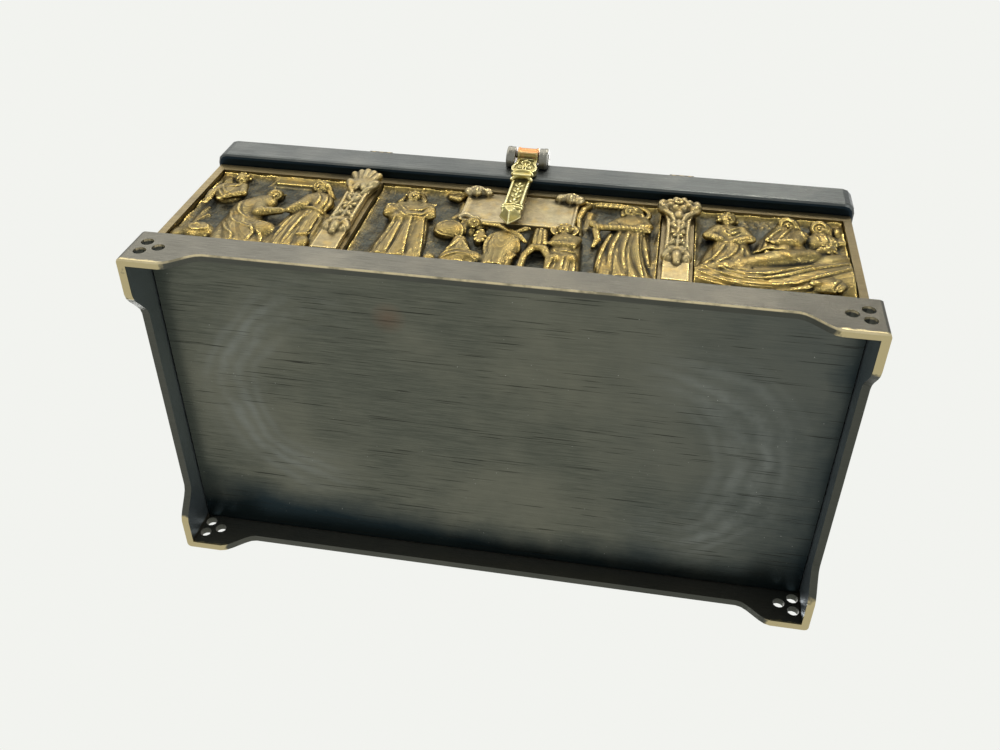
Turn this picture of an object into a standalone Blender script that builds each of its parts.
"""A Gothic casket inkwell in cast bronze: a skirted plinth on four feet, relief walls, a hinged lid with a
hasp, and inside it a tray with two ink pots and a pen trough. Metres, +Z up, front towards -Y.

Everything is modelled in casket coordinates, whose origin is the centre of the plinth's footprint. The empty
named casket_frame then moves it all by CASKET_SHIFT, so that the whole object is centred front to back.
"""

import math

import bmesh
import bpy
from mathutils import Matrix, Vector

GAP = 0.0003

# Plinth: a hollow skirt with an arched apron between its feet.
PLINTH_LENGTH = 0.176
PLINTH_DEPTH = 0.096
PLINTH_HEIGHT = 0.0136
SKIRT_WALL = 0.0020
FLANGE_THICKNESS = 0.0012
FLANGE_WIDTH = 0.008
PLINTH_CORNER = 0.0010
FOOT_LENGTH = 0.0100
APRON_CURVE = 0.0090
APRON_LIFT = 0.0055
PLATE_THICKNESS = 0.0010
TREFOIL_INSET = 0.0052
TREFOIL_HEIGHT = 0.0067
TREFOIL_REACH = 0.0025
TREFOIL_HOLE = 0.0016

# Walls: four castings, recessed for the relief plaques.
BODY_LENGTH = 0.1705
BODY_DEPTH = 0.0930
BODY_TOP = 0.0565
WALL_THICKNESS = 0.0045
RECESS_DEPTH = 0.0034
BOTTOM_RAIL = 0.0010
TOP_RAIL = 0.0030
END_STILE = 0.0020

# Relief plaques.
PLAQUE_BACK = 0.0005
RELIEF_HEIGHT = 0.0039
LID_RELIEF_HEIGHT = 0.0018
GRID_PITCH = 0.0033

# Straps that cross the lid and run down the walls.
STRAP_X = 0.0418
STRAP_STRIP = 0.0080
STRAP_WIDTH = 0.0064
STRAP_THICKNESS = 0.0014
CAPITAL_WIDTH = 0.0104
CAPITAL_HEIGHT = 0.0080
KNOP_LIFT = 0.0075
KNOP_HEIGHT = 0.0055

# Lid.
LID_FRONT = 0.0495
LID_REAR = 0.0470
LID_HEIGHT = 0.0093
LID_OVERHANG = 0.0011
LID_CORNER = 0.0028
LID_UNDER_ROUND = 0.0012
LID_RIM = 0.0065
LID_ROOF = 0.0030
LID_RECESS = 0.0016
LID_BORDER = 0.0035
LID_STRAP_THICKNESS = 0.0010

# Rear hinges, on the joint between the body and the lid.
HINGE_Y = 0.0493
HINGE_RADIUS = 0.0021
HINGE_BORE = 0.0010
HINGE_PIN = 0.0009
KNUCKLE_GAP = 0.0003
KNUCKLE_LENGTH = 0.0030

# Hasp, hung on a pin between two lugs that straddle the lid's front edge.
HASP_Y = -0.0516
HASP_RISE = 0.0009
HASP_RADIUS = 0.0019
HASP_WIDTH = 0.0070
HASP_GAP = 0.0062
HASP_LENGTH = 0.0350
HASP_THICKNESS = 0.0017
HASP_CLEARANCE = 0.0005
HASP_STEP = 0.0014
ARM_WIDTH = 0.0048
SHOULDER_DROP = 0.0058
LUG_RADIUS = 0.0034
LUG_BACK = 0.0008
LUG_DROP = 0.0012
LUG_THICKNESS = 0.0026
LUG_FOOT = 0.0050
LUG_FOOT_THICKNESS = 0.0010
LUG_STEPS = 20

# Lock plate behind the hasp.
LOCK_X = 0.0012
LOCK_WIDTH = 0.0296
LOCK_TOP = 0.0532
LOCK_HEIGHT = 0.0157
LOCK_THICKNESS = 0.0019
LOCK_BEVEL = 0.0003

# Tray, pots and caps.
TRAY_CLEARANCE = 0.0006
TRAY_TOP = 0.0400
TRAY_DECK = 0.0016
TRAY_WALL = 0.0014
POT_X = 0.0480
POT_RADIUS = 0.0128
POT_BOTTOM = 0.0150
POT_WALL = 0.0020
POT_FLOOR = 0.0024
POT_RIM_RADIUS = 0.0150
POT_RIM = 0.0014
CAP_RADIUS = 0.0138
CAP_SPIGOT = 0.0026
CAP_THICKNESS = 0.0016
KNOB_RADIUS = 0.0028
KNOB_HEIGHT = 0.0045
TROUGH_LENGTH = 0.0520
TROUGH_DEPTH_Y = 0.0150
TROUGH_DROP = 0.0060
TROUGH_RIM = 0.0020
TROUGH_WALL = 0.0012
TROUGH_LIP = 0.0010
CUT_TOP = 0.0600

ROUND_STEPS = 28
CAP_STEPS = 24
SMALL_ROUND_STEPS = 16
PIN_STEPS = 12

# Values that follow from the ones above.
WALL_BOTTOM = PLINTH_HEIGHT + GAP
LID_BOTTOM = BODY_TOP + GAP
LID_TOP = LID_BOTTOM + LID_HEIGHT
HINGE_Z = BODY_TOP + GAP / 2
HASP_Z = LID_TOP + HASP_RISE
LUG_FRONT = HASP_Y + LUG_BACK - LUG_RADIUS
CASKET_SHIFT = (-LUG_FRONT - HINGE_Y - HINGE_RADIUS) / 2
COMPARTMENTS = {
    "left": (-BODY_LENGTH / 2 + END_STILE, -STRAP_X - STRAP_STRIP / 2),
    "centre": (-STRAP_X + STRAP_STRIP / 2, STRAP_X - STRAP_STRIP / 2),
    "right": (STRAP_X + STRAP_STRIP / 2, BODY_LENGTH / 2 - END_STILE),
}
SIDES = {"left": -1, "right": 1}


def clear_scene():
    for obj in list(bpy.data.objects):
        bpy.data.objects.remove(obj)


def metal(name, colour, roughness, metallic=1.0):
    made = bpy.data.materials.new(name)
    made.use_nodes = True
    shader = made.node_tree.nodes["Principled BSDF"]
    shader.inputs["Base Color"].default_value = (*colour, 1.0)
    shader.inputs["Roughness"].default_value = roughness
    shader.inputs["Metallic"].default_value = metallic
    return made


def add_axis(name, place, parent=None):
    """An empty on a joint's axis. place is in casket coordinates."""
    empty = bpy.data.objects.new(name, None)
    bpy.context.scene.collection.objects.link(empty)
    empty.location = place
    if parent:
        empty.parent = parent
        empty.location = Vector(place) - Vector(parent["place"])
    empty["place"] = place
    return empty


def add_object(name, shape, finish, axis):
    """An object from a bmesh in casket coordinates, hung on its axis empty."""
    bmesh.ops.recalc_face_normals(shape, faces=shape.faces)
    mesh = bpy.data.meshes.new(name)
    shape.to_mesh(mesh)
    shape.free()
    if finish:
        mesh.materials.append(finish)
    mesh.shade_smooth()
    mesh.set_sharp_from_angle(angle=math.radians(35))
    obj = bpy.data.objects.new(name, mesh)
    bpy.context.scene.collection.objects.link(obj)
    obj.parent = axis
    obj.matrix_parent_inverse = Matrix.Translation(-Vector(axis["place"]))
    return obj


def boolean(obj, operation, shapes):
    """Cuts or joins each shape, a bmesh in casket coordinates."""
    for number, shape in enumerate(shapes):
        tool = add_object(f"{obj.name}_{operation.lower()}_{number}", shape, None, obj.parent)
        tool.hide_render = True
        tool.display_type = "WIRE"
        modifier = obj.modifiers.new(tool.name, "BOOLEAN")
        modifier.operation = operation
        modifier.solver = "EXACT"
        modifier.object = tool
    return obj


def bevel(obj, width, segments=1, angle=40):
    modifier = obj.modifiers.new("edges", "BEVEL")
    modifier.width = width
    modifier.segments = segments
    modifier.limit_method = "ANGLE"
    modifier.angle_limit = math.radians(angle)
    return obj


def box(low, high):
    low = Vector(low)
    high = Vector(high)
    shape = bmesh.new()
    bmesh.ops.create_cube(shape, size=1.0)
    size = high - low
    bmesh.ops.scale(shape, vec=size, verts=shape.verts)
    bmesh.ops.translate(shape, vec=(low + high) / 2, verts=shape.verts)
    return shape


def rounded_box(low, high, radius, segments=3):
    """A box whose four upright edges are rounded."""
    shape = box(low, high)
    upright = [e for e in shape.edges if abs((e.verts[0].co - e.verts[1].co).normalized().z) > 0.99]
    bmesh.ops.bevel(shape, geom=upright, offset=radius, segments=segments, profile=0.5, affect="EDGES")
    return shape


def prism(outline, across, start, end):
    """An outline of (a, b) points, stretched along one axis. across is "X", "Y" or "Z"."""
    place = {
        "X": lambda a, b, c: (c, a, b),
        "Y": lambda a, b, c: (a, c, b),
        "Z": lambda a, b, c: (a, b, c),
    }[across]
    shape = bmesh.new()
    first = [shape.verts.new(place(a, b, start)) for a, b in outline]
    face = shape.faces.new(first)
    made = bmesh.ops.extrude_face_region(shape, geom=[face])
    moved = [item for item in made["geom"] if isinstance(item, bmesh.types.BMVert)]
    step = Vector(place(0, 0, end)) - Vector(place(0, 0, start))
    bmesh.ops.translate(shape, vec=step, verts=moved)
    return shape


def circle(centre, radius, steps):
    turns = (2 * math.pi * step / steps for step in range(steps))
    return [(centre[0] + radius * math.cos(t), centre[1] + radius * math.sin(t)) for t in turns]


def rod(across, centre, radius, start, end, steps=SMALL_ROUND_STEPS):
    return prism(circle(centre, radius, steps), across, start, end)


def turned(profile, centre_x, steps=ROUND_STEPS):
    """A closed profile of (radius, z) points turned about the upright axis through (centre_x, 0)."""
    shape = bmesh.new()
    rings = []
    for radius, z in profile:
        if radius == 0:
            rings.append([shape.verts.new((centre_x, 0, z))])
            continue
        ring = circle((centre_x, 0), radius, steps)
        rings.append([shape.verts.new((x, y, z)) for x, y in ring])
    for lower, upper in zip(rings, rings[1:]):
        for step in range(steps):
            after = (step + 1) % steps
            if len(lower) == 1:
                shape.faces.new((lower[0], upper[step], upper[after]))
            elif len(upper) == 1:
                shape.faces.new((lower[after], lower[step], upper[0]))
            else:
                shape.faces.new((lower[step], upper[step], upper[after], lower[after]))
    return shape


def arch_outline(length):
    """The opening under one apron, from foot to foot, with an S-curve at each end."""
    steps = 6
    end = length / 2 - FOOT_LENGTH
    rise = []
    for step in range(steps + 1):
        part = step / steps
        height = APRON_LIFT * (3 * part**2 - 2 * part**3)
        rise.append((-end + APRON_CURVE * part, height))
    half = [(-end, -PLINTH_HEIGHT)] + rise
    return half + [(-a, b) for a, b in reversed(half)]


def trefoil_holes(side):
    """Three holes through the front and rear faces of the feet at one end, pointing inwards."""
    holes = []
    for turn in (0, 120, 240):
        angle = math.radians(turn)
        x = PLINTH_LENGTH / 2 - TREFOIL_INSET - TREFOIL_REACH * math.cos(angle)
        z = TREFOIL_HEIGHT + TREFOIL_REACH * math.sin(angle)
        holes.append(rod("Y", (side * x, z), TREFOIL_HOLE, -PLINTH_DEPTH, PLINTH_DEPTH, 12))
    return holes


def plinth(finish, axis):
    half_x = PLINTH_LENGTH / 2
    half_y = PLINTH_DEPTH / 2
    outer = rounded_box((-half_x, -half_y, 0), (half_x, half_y, PLINTH_HEIGHT), PLINTH_CORNER, 2)
    obj = add_object("plinth", outer, finish, axis)
    inner_x = half_x - SKIRT_WALL
    inner_y = half_y - SKIRT_WALL
    flange_bottom = PLINTH_HEIGHT - FLANGE_THICKNESS
    hollow = box((-inner_x, -inner_y, -0.01), (inner_x, inner_y, flange_bottom))
    mouth_x = inner_x - FLANGE_WIDTH
    mouth_y = inner_y - FLANGE_WIDTH
    mouth = box((-mouth_x, -mouth_y, -0.01), (mouth_x, mouth_y, PLINTH_HEIGHT + 0.01))
    front_arch = prism(arch_outline(PLINTH_LENGTH), "Y", -PLINTH_DEPTH, PLINTH_DEPTH)
    end_arch = prism(arch_outline(PLINTH_DEPTH), "X", -PLINTH_LENGTH, PLINTH_LENGTH)
    holes = trefoil_holes(-1) + trefoil_holes(1)
    return boolean(obj, "DIFFERENCE", [hollow, mouth, front_arch, end_arch] + holes)


def base_plate(finish, axis):
    x = PLINTH_LENGTH / 2 - SKIRT_WALL - GAP
    y = PLINTH_DEPTH / 2 - SKIRT_WALL - GAP
    top = PLINTH_HEIGHT - FLANGE_THICKNESS - GAP
    add_object("base_plate", box((-x, -y, top - PLATE_THICKNESS), (x, y, top)), finish, axis)


def long_wall(name, facing, finish, axis):
    """The front wall (facing -1) or the rear wall (facing 1), with one recess for each plaque."""
    outer = facing * BODY_DEPTH / 2
    inner = facing * (BODY_DEPTH / 2 - WALL_THICKNESS)
    low_y = min(outer, inner)
    high_y = max(outer, inner)
    half_x = BODY_LENGTH / 2
    obj = add_object(name, box((-half_x, low_y, WALL_BOTTOM), (half_x, high_y, BODY_TOP)), finish, axis)
    floor = facing * (BODY_DEPTH / 2 - RECESS_DEPTH)
    beyond = facing * BODY_DEPTH
    recesses = []
    for start, end in COMPARTMENTS.values():
        low = (start, min(floor, beyond), WALL_BOTTOM + BOTTOM_RAIL)
        high = (end, max(floor, beyond), BODY_TOP - TOP_RAIL)
        recesses.append(box(low, high))
    return boolean(obj, "DIFFERENCE", recesses)


def end_wall(name, side, finish, axis):
    outer = side * BODY_LENGTH / 2
    inner = side * (BODY_LENGTH / 2 - WALL_THICKNESS)
    half_y = BODY_DEPTH / 2 - WALL_THICKNESS - GAP
    low_x = min(outer, inner)
    high_x = max(outer, inner)
    obj = add_object(name, box((low_x, -half_y, WALL_BOTTOM), (high_x, half_y, BODY_TOP)), finish, axis)
    floor = side * (BODY_LENGTH / 2 - RECESS_DEPTH)
    beyond = side * BODY_LENGTH
    reach = half_y - END_STILE
    low = (min(floor, beyond), -reach, WALL_BOTTOM + BOTTOM_RAIL)
    high = (max(floor, beyond), reach, BODY_TOP - TOP_RAIL)
    return boolean(obj, "DIFFERENCE", [box(low, high)])


def figure(across, foot, height, lean=0.0):
    """The masses of one draped figure: (across, up, half width, half height, share of the relief height)."""
    return [
        (across, foot + 0.32 * height, 0.24 * height, 0.34 * height, 0.80),
        (across + 0.5 * lean, foot + 0.62 * height, 0.19 * height, 0.22 * height, 0.95),
        (across + lean, foot + 0.88 * height, 0.12 * height, 0.13 * height, 1.0),
    ]


def relief_height(across, up, masses):
    """How far the relief stands out here, from 0 to 1."""
    highest = 0.0
    for centre_a, centre_u, half_a, half_u, share in masses:
        distance = ((across - centre_a) / half_a) ** 2 + ((up - centre_u) / half_u) ** 2
        if distance < 1:
            highest = max(highest, share * math.sqrt(1 - distance))
    return highest


def plaque(name, corner, along, upward, size, masses, height, finish, axis):
    """A relief plaque. corner is the back's first corner, along and upward are unit vectors."""
    along = Vector(along)
    upward = Vector(upward)
    outward = along.cross(upward)
    columns = max(6, round(size[0] / GRID_PITCH))
    rows = max(6, round(size[1] / GRID_PITCH))
    shape = bmesh.new()
    front = []
    for row in range(rows + 1):
        line = []
        for column in range(columns + 1):
            across = size[0] * column / columns
            up = size[1] * row / rows
            inside = 0 < column < columns and 0 < row < rows
            raised = relief_height(across, up, masses) if inside else 0.0
            rise = PLAQUE_BACK + height * raised
            line.append(shape.verts.new(Vector(corner) + along * across + upward * up + outward * rise))
        front.append(line)
    for row in range(rows):
        for column in range(columns):
            lower = front[row]
            upper = front[row + 1]
            shape.faces.new((lower[column], lower[column + 1], upper[column + 1], upper[column]))
    rim = front[0][:-1] + [line[-1] for line in front[:-1]] + front[-1][:0:-1] + [l[0] for l in front[:0:-1]]
    back = [shape.verts.new(vert.co - outward * PLAQUE_BACK) for vert in rim]
    for index in range(len(rim)):
        after = (index + 1) % len(rim)
        shape.faces.new((rim[index], back[index], back[after], rim[after]))
    shape.faces.new(list(reversed(back)))
    return add_object(name, shape, finish, axis)


def scene_masses(width, height, count, flat_top=None):
    """Figures standing in a row. flat_top is a stretch (start, end) where only low figures stand."""
    masses = []
    for index in range(count):
        across = width * (index + 0.5) / count
        low = flat_top and flat_top[0] < across < flat_top[1]
        tall = 0.46 * height if low else (0.92 - 0.14 * (index % 2)) * height
        lean = 0.1 * height * (1 if index % 2 else -1)
        masses += figure(across, 0.0, tall, lean)
    return masses


def long_plaques(prefix, facing, finish, axis):
    height = BODY_TOP - TOP_RAIL - WALL_BOTTOM - BOTTOM_RAIL - 2 * GAP
    bottom = WALL_BOTTOM + BOTTOM_RAIL + GAP
    back = facing * (BODY_DEPTH / 2 - RECESS_DEPTH + GAP)
    for place, (start, end) in COMPARTMENTS.items():
        width = end - start - 2 * GAP
        lock = (width / 2 - LOCK_WIDTH, width / 2 + LOCK_WIDTH) if place == "centre" else None
        masses = scene_masses(width, height, 7 if place == "centre" else 3, lock)
        first = start + GAP if facing < 0 else end - GAP
        name = f"{prefix}_relief_{place}"
        corner = (first, back, bottom)
        plaque(name, corner, (-facing, 0, 0), (0, 0, 1), (width, height), masses, RELIEF_HEIGHT, finish, axis)


def end_plaque(name, side, finish, axis):
    reach = BODY_DEPTH / 2 - WALL_THICKNESS - END_STILE - 2 * GAP
    height = BODY_TOP - TOP_RAIL - WALL_BOTTOM - BOTTOM_RAIL - 2 * GAP
    corner = (side * (BODY_LENGTH / 2 - RECESS_DEPTH + GAP), -side * reach, WALL_BOTTOM + BOTTOM_RAIL + GAP)
    masses = scene_masses(2 * reach, height, 5)
    size = (2 * reach, height)
    plaque(name, corner, (0, side, 0), (0, 0, 1), size, masses, RELIEF_HEIGHT, finish, axis)


def front_strap(name, x, finish, axis):
    """A strap with a knop above its plain foot and a leafy capital under the lid."""
    face = -BODY_DEPTH / 2 - GAP
    half = STRAP_WIDTH / 2
    bottom = WALL_BOTTOM
    top = BODY_TOP - 0.0004
    outline = [(x - half, bottom), (x + half, bottom)]
    outline += [(x + 0.8 * half, bottom + 0.012), (x + 0.7 * half, top - 1.5 * CAPITAL_HEIGHT)]
    outline += [(x + CAPITAL_WIDTH / 2, top - 0.4 * CAPITAL_HEIGHT), (x + 0.4 * CAPITAL_WIDTH, top)]
    outline += [(2 * x - a, b) for a, b in reversed(outline[2:])]
    obj = add_object(name, prism(outline, "Y", face - STRAP_THICKNESS, face), finish, axis)
    knop_bottom = bottom + KNOP_LIFT
    knop = box(
        (x - 1.05 * half, face - 1.6 * STRAP_THICKNESS, knop_bottom),
        (x + 1.05 * half, face - 0.2 * STRAP_THICKNESS, knop_bottom + KNOP_HEIGHT),
    )
    return boolean(obj, "UNION", [knop])


def lock_plate(finish, axis):
    back = -(BODY_DEPTH / 2 - RECESS_DEPTH + GAP + PLAQUE_BACK + GAP)
    half = LOCK_WIDTH / 2
    low = (LOCK_X - half, back - LOCK_THICKNESS, LOCK_TOP - LOCK_HEIGHT)
    shape = box(low, (LOCK_X + half, back, LOCK_TOP))
    return bevel(add_object("lock_plate", shape, finish, axis), LOCK_BEVEL)


def knuckles(x, middle):
    """The lid's middle knuckle, or the two outer ones of the wall's strap, as rods along X."""
    half = KNUCKLE_LENGTH / 2
    if middle:
        spans = [(-half, half)]
    else:
        spans = [(-3 * half, -half - KNUCKLE_GAP), (half + KNUCKLE_GAP, 3 * half)]
    return [rod("X", (HINGE_Y, HINGE_Z), HINGE_RADIUS, x + a, x + b) for a, b in spans]


def hinge_bore(x):
    return rod("X", (HINGE_Y, HINGE_Z), HINGE_BORE, x - 0.02, x + 0.02, 12)


def rear_strap(name, x, finish, axis):
    """The strap on the rear wall, whose upper end carries the two outer knuckles."""
    face = BODY_DEPTH / 2 + GAP
    half = STRAP_WIDTH / 2
    shape = box((x - half, face, WALL_BOTTOM), (x + half, face + STRAP_THICKNESS, HINGE_Z - 0.0006))
    obj = add_object(name, shape, finish, axis)
    boolean(obj, "UNION", knuckles(x, False))
    notch_half = KNUCKLE_LENGTH / 2 + KNUCKLE_GAP
    clear = HINGE_RADIUS + GAP
    notch_low = (x - notch_half, HINGE_Y - clear, HINGE_Z - clear)
    notch = box(notch_low, (x + notch_half, HINGE_Y + clear, BODY_TOP))
    return boolean(obj, "DIFFERENCE", [notch, hinge_bore(x)])


def lid_strap(name, x, finish, axis):
    """The strap across the lid: over the top, down the rear edge and into the middle knuckle."""
    half = STRAP_WIDTH / 2
    under = LID_TOP + GAP
    over = under + LID_STRAP_THICKNESS
    behind = LID_REAR + GAP
    top = box((x - half, -LID_FRONT + 0.0004, under), (x + half, behind + LID_STRAP_THICKNESS, over))
    obj = add_object(name, top, finish, axis)
    drop = box((x - half, behind, LID_BOTTOM + 0.0022), (x + half, behind + LID_STRAP_THICKNESS, over))
    knuckle_half = KNUCKLE_LENGTH / 2
    tail = box((x - knuckle_half, behind, HINGE_Z), (x + knuckle_half, behind + LID_STRAP_THICKNESS, over))
    boolean(obj, "UNION", [drop, tail] + knuckles(x, True))
    return boolean(obj, "DIFFERENCE", [hinge_bore(x)])


def hinge_pin(name, x, finish, axis):
    half = 1.5 * KNUCKLE_LENGTH
    add_object(name, rod("X", (HINGE_Y, HINGE_Z), HINGE_PIN, x - half, x + half, PIN_STEPS), finish, axis)


def lid_shell(finish, axis):
    half_x = BODY_LENGTH / 2 + LID_OVERHANG
    low = (-half_x, -LID_FRONT, LID_BOTTOM)
    outer = rounded_box(low, (half_x, LID_REAR, LID_TOP), LID_CORNER)
    lower = [e for e in outer.edges if max(v.co.z for v in e.verts) < LID_BOTTOM + GAP]
    bmesh.ops.bevel(outer, geom=lower, offset=LID_UNDER_ROUND, segments=3, profile=0.5, affect="EDGES")
    obj = add_object("lid_shell", outer, finish, axis)
    hollow = box(
        (-half_x + LID_OVERHANG + LID_RIM, -LID_FRONT + LID_RIM, LID_BOTTOM - 0.01),
        (half_x - LID_OVERHANG - LID_RIM, LID_REAR - LID_RIM, LID_TOP - LID_ROOF),
    )
    recesses = [hollow]
    for start, end in COMPARTMENTS.values():
        low = (start + GAP, -LID_FRONT + LID_BORDER, LID_TOP - LID_RECESS)
        recesses.append(box(low, (end - GAP, LID_REAR - LID_BORDER, LID_TOP + 0.01)))
    return boolean(obj, "DIFFERENCE", recesses)


def lid_plaques(finish, axis):
    depth = LID_FRONT + LID_REAR - 2 * LID_BORDER - 2 * GAP
    for place, (start, end) in COMPARTMENTS.items():
        width = end - start - 4 * GAP
        masses = scene_masses(width, 0.48 * depth, 4 if place == "centre" else 2)
        masses += [(a, b + 0.5 * depth, c, d, e) for a, b, c, d, e in masses]
        corner = (start + 2 * GAP, -LID_FRONT + LID_BORDER + GAP, LID_TOP - LID_RECESS + GAP)
        size = (width, depth)
        name = f"lid_relief_{place}"
        plaque(name, corner, (1, 0, 0), (0, 1, 0), size, masses, LID_RELIEF_HEIGHT, finish, axis)


def hasp_bracket(finish, axis):
    """Two round lugs that straddle the lid's front edge, joined by a foot plate on its top."""
    inner = HASP_GAP / 2
    outer = inner + LUG_THICKNESS
    foot_front = -LID_FRONT + 0.0005
    foot_top = LID_TOP + GAP + LUG_FOOT_THICKNESS
    foot = box((-outer, foot_front, LID_TOP + GAP), (outer, foot_front + LUG_FOOT, foot_top))
    obj = add_object("hasp_bracket", foot, finish, axis)
    centre = (HASP_Y + LUG_BACK, HASP_Z - LUG_DROP)
    spans = ((-outer, -inner), (inner, outer))
    lugs = [rod("X", centre, LUG_RADIUS, start, end, LUG_STEPS) for start, end in spans]
    boolean(obj, "UNION", lugs)
    lid_edge = box((-2 * outer, -LID_FRONT - GAP, 0), (2 * outer, 0, LID_TOP + GAP))
    swing = rod("X", (HASP_Y, HASP_Z), HASP_RADIUS + GAP, -inner, inner)
    return boolean(obj, "DIFFERENCE", [lid_edge, swing, hasp_bore()])


def hasp_bore():
    reach = 2 * HASP_GAP
    return rod("X", (HASP_Y, HASP_Z), HINGE_BORE, -reach, reach, PIN_STEPS)


def hasp_pin(finish, axis):
    half = HASP_GAP / 2 + LUG_THICKNESS
    shape = rod("X", (HASP_Y, HASP_Z), HINGE_PIN, -half, half, PIN_STEPS)
    add_object("hasp_pin", shape, finish, axis)


def hasp(finish, axis):
    """The hasp hangs over the lid's edge and steps back below it, in front of the relief."""
    over_lid = -LID_FRONT - HASP_CLEARANCE
    below = over_lid + HASP_STEP
    shoulder = HASP_Z - SHOULDER_DROP
    step_top = LID_BOTTOM - GAP
    step_bottom = step_top - HASP_STEP
    tip = HASP_Z - HASP_LENGTH
    half_eye = HASP_GAP / 2 - GAP
    half_head = HASP_WIDTH / 2
    half_arm = ARM_WIDTH / 2
    eye = rod("X", (HASP_Y, HASP_Z), HASP_RADIUS, -half_eye, half_eye)
    obj = add_object("hasp", eye, finish, axis)
    plate = [
        (-half_eye, HASP_Z - 0.0002),
        (-half_eye, shoulder),
        (-half_head, shoulder - 0.0015),
        (-half_head, step_top + 0.0012),
        (-half_arm, step_top),
    ]
    plate += [(-a, b) for a, b in reversed(plate)]
    head = prism(plate, "Y", over_lid - HASP_THICKNESS, over_lid)
    side = [
        (over_lid, step_top + 0.0010),
        (over_lid - HASP_THICKNESS, step_top + 0.0010),
        (over_lid - HASP_THICKNESS, step_top - 0.0004),
        (below - HASP_THICKNESS, step_bottom - 0.0004),
        (below - HASP_THICKNESS, tip + 0.0030),
        (below - HASP_THICKNESS / 2, tip + 0.0020),
        (below, tip + 0.0030),
        (below, step_bottom),
        (over_lid, step_top),
    ]
    arm = prism(side, "X", -half_arm, half_arm)
    flare = tip + 0.15 * HASP_LENGTH
    leaf = [
        (-half_arm, flare + 0.0012),
        (-1.25 * half_arm, flare),
        (-0.9 * half_arm, tip + 0.0012),
        (0.0, tip),
        (0.9 * half_arm, tip + 0.0012),
        (1.25 * half_arm, flare),
        (half_arm, flare + 0.0012),
    ]
    end = prism(leaf, "Y", below - HASP_THICKNESS - 0.0002, below - 0.0002)
    boolean(obj, "UNION", [head, arm, end])
    return boolean(obj, "DIFFERENCE", [hasp_bore()])


def insert_tray(finish, axis):
    """An upside-down box whose deck has a hole for each pot and one for the trough."""
    half_x = BODY_LENGTH / 2 - WALL_THICKNESS - TRAY_CLEARANCE
    half_y = BODY_DEPTH / 2 - WALL_THICKNESS - TRAY_CLEARANCE
    block = box((-half_x, -half_y, WALL_BOTTOM), (half_x, half_y, TRAY_TOP))
    obj = add_object("insert_tray", block, finish, axis)
    room_x = half_x - TRAY_WALL
    room_y = half_y - TRAY_WALL
    cuts = [box((-room_x, -room_y, 0), (room_x, room_y, TRAY_TOP - TRAY_DECK))]
    for side in SIDES.values():
        cuts.append(rod("Z", (side * POT_X, 0), POT_RADIUS + 2 * GAP, 0, CUT_TOP, ROUND_STEPS))
    half_length = TROUGH_LENGTH / 2 + 2 * GAP
    half_width = TROUGH_DEPTH_Y / 2 + 2 * GAP
    cuts.append(box((-half_length, -half_width, 0), (half_length, half_width, CUT_TOP)))
    return boolean(obj, "DIFFERENCE", cuts)


def pen_trough(finish, axis):
    half_x = TROUGH_LENGTH / 2
    half_y = TROUGH_DEPTH_Y / 2
    rim = TRAY_TOP + GAP
    dish = box((-half_x, -half_y, rim - TROUGH_DROP), (half_x, half_y, rim + 0.6 * TROUGH_LIP))
    obj = add_object("pen_trough", dish, finish, axis)
    lip_x = half_x + TROUGH_RIM
    lip_y = half_y + TROUGH_RIM
    lip = box((-lip_x, -lip_y, rim), (lip_x, lip_y, rim + TROUGH_LIP))
    boolean(obj, "UNION", [lip])
    inner_x = half_x - TROUGH_WALL
    inner_y = half_y - TROUGH_WALL
    inside = box((-inner_x, -inner_y, rim - TROUGH_DROP + TROUGH_WALL), (inner_x, inner_y, CUT_TOP))
    return boolean(obj, "DIFFERENCE", [inside])


def ink_pot(name, x, finish, axis):
    """An open pot that hangs in the tray by its rim."""
    rim_bottom = TRAY_TOP + GAP
    rim_top = rim_bottom + POT_RIM
    inside = POT_RADIUS - POT_WALL
    profile = [
        (0, POT_BOTTOM),
        (POT_RADIUS - 0.0012, POT_BOTTOM),
        (POT_RADIUS, POT_BOTTOM + 0.0012),
        (POT_RADIUS, rim_bottom),
        (POT_RIM_RADIUS, rim_bottom),
        (POT_RIM_RADIUS, rim_top),
        (inside, rim_top),
        (inside, POT_BOTTOM + POT_FLOOR + 0.003),
        (inside - 0.003, POT_BOTTOM + POT_FLOOR),
        (0, POT_BOTTOM + POT_FLOOR),
    ]
    add_object(name, turned(profile, x), finish, axis)


def pot_cap(name, x, finish, axis):
    """A cap with a spigot that fits the pot's mouth and a round knob."""
    bottom = TRAY_TOP + GAP + POT_RIM + GAP
    top = bottom + CAP_THICKNESS
    spigot = POT_RADIUS - POT_WALL - 0.0004
    profile = [
        (0, bottom - CAP_SPIGOT),
        (spigot - 0.0004, bottom - CAP_SPIGOT),
        (spigot, bottom - CAP_SPIGOT + 0.0004),
        (spigot, bottom),
        (CAP_RADIUS, bottom),
        (CAP_RADIUS, top - 0.0005),
        (CAP_RADIUS - 0.0008, top),
        (0.45 * KNOB_RADIUS, top + 0.0003),
        (0.45 * KNOB_RADIUS, top + 0.20 * KNOB_HEIGHT),
        (KNOB_RADIUS, top + 0.60 * KNOB_HEIGHT),
        (0.7 * KNOB_RADIUS, top + 0.90 * KNOB_HEIGHT),
        (0, top + KNOB_HEIGHT),
    ]
    add_object(name, turned(profile, x, CAP_STEPS), finish, axis)


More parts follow.
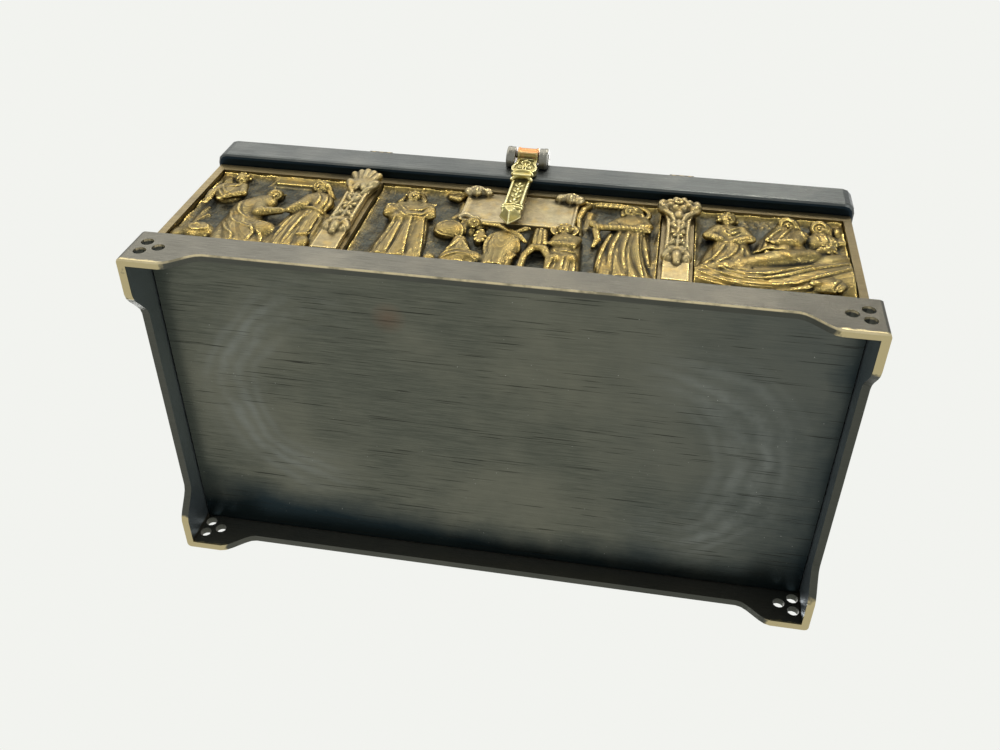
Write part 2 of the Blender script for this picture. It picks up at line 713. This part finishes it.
def build():
    clear_scene()
    dark = metal("dark_bronze", (0.075, 0.066, 0.058), 0.42)
    plate = metal("plate_bronze", (0.060, 0.058, 0.052), 0.30)
    gold = metal("relief_bronze", (0.38, 0.28, 0.13), 0.38)
    lid_bronze = metal("lid_bronze", (0.11, 0.12, 0.13), 0.35)
    brass = metal("hasp_brass", (0.48, 0.38, 0.19), 0.33)
    lining = metal("tray_brass", (0.50, 0.40, 0.22), 0.40)
    steel = metal("pin_steel", (0.42, 0.41, 0.40), 0.35)
    ceramic = metal("pot_ceramic", (0.86, 0.85, 0.80), 0.15, 0.0)

    casket = add_axis("casket_frame", (0, 0, 0))
    casket.location = (0, CASKET_SHIFT, 0)
    lid = add_axis("lid_axis", (0, HINGE_Y, HINGE_Z), casket)
    hasp_axis = add_axis("hasp_axis", (0, HASP_Y, HASP_Z), lid)

    plinth(dark, casket)
    base_plate(plate, casket)
    long_wall("front_wall", -1, dark, casket)
    long_wall("rear_wall", 1, dark, casket)
    long_plaques("front", -1, gold, casket)
    long_plaques("rear", 1, gold, casket)
    lock_plate(gold, casket)
    insert_tray(lining, casket)
    pen_trough(lining, casket)
    lid_shell(lid_bronze, lid)
    lid_plaques(gold, lid)
    hasp_bracket(brass, lid)
    hasp_pin(steel, lid)
    hasp(brass, hasp_axis)
    for place, side in SIDES.items():
        end_wall(f"{place}_wall", side, dark, casket)
        end_plaque(f"{place}_relief", side, gold, casket)
        front_strap(f"front_strap_{place}", side * STRAP_X, gold, casket)
        rear_strap(f"rear_strap_{place}", side * STRAP_X, gold, casket)
        hinge_pin(f"hinge_pin_{place}", side * STRAP_X, steel, casket)
        lid_strap(f"lid_strap_{place}", side * STRAP_X, gold, lid)
        pot = add_axis(f"pot_axis_{place}", (side * POT_X, 0, POT_BOTTOM), casket)
        cap = add_axis(f"cap_axis_{place}", (side * POT_X, 0, TRAY_TOP), pot)
        ink_pot(f"ink_pot_{place}", side * POT_X, ceramic, pot)
        pot_cap(f"pot_cap_{place}", side * POT_X, lining, cap)


build()
